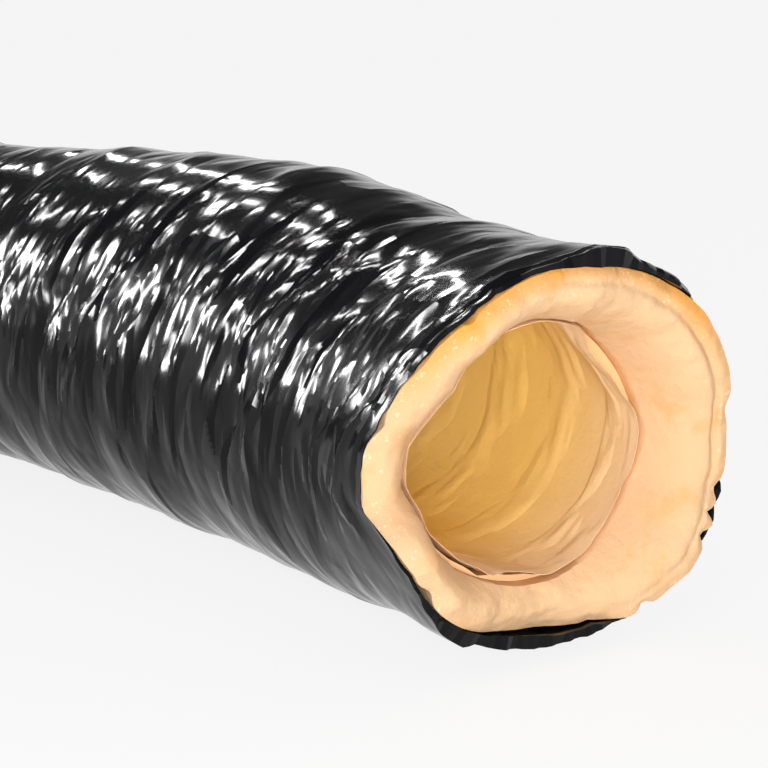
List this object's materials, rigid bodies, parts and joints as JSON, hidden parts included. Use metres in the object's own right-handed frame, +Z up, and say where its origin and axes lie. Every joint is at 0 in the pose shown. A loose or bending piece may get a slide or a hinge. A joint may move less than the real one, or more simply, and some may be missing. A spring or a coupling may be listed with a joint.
{
  "type": "insulated flexible air duct",
  "caption": "Soft insulated air duct in a shallow bend: fabric liner on a spring wire, thick blanket and a crinkled black film jacket, open at both ends.",
  "frame": {"origin": "middle of the footprint, on the surface that the duct lies on", "axes": "+X from the rear half to the front half, the middle line running along X where the halves meet; +Z up; both mouths turn towards -Y"},
  "size_m": [1.0366, 0.3044, 0.192],
  "materials": {
    "jacket": "thin crinkled film, black outside with a metallic sheen",
    "insulation": "soft bonded fibre blanket, cut edge",
    "liner": "smooth non-woven fabric, softly creased",
    "liner_outer": "smooth non-woven fabric",
    "spring_wire": "bright drawn spring wire"
  },
  "bodies": {
    "rear_half": {"liner_inner_ply_rear": "liner", "wire_helix_rear": "spring_wire", "liner_outer_ply_rear": "liner_outer", "insulation_rear": "insulation", "jacket_rear": "jacket"},
    "front_half": {"liner_inner_ply_front": "liner", "wire_helix_front": "spring_wire", "liner_outer_ply_front": "liner_outer", "insulation_front": "insulation", "jacket_front": "jacket"}
  },
  "joints": [
    {"name": "bend", "type": "hinge", "parent": "rear_half", "child": "front_half", "pos_m": [0, 0.05698, 0.09581], "axis": [0, 0, -1], "range_deg": [-55, 35], "deforming": ["liner_inner_ply_front", "liner_inner_ply_rear", "wire_helix_front", "wire_helix_rear", "liner_outer_ply_front", "liner_outer_ply_rear", "insulation_front", "insulation_rear", "jacket_front", "jacket_rear"]}
  ]
}
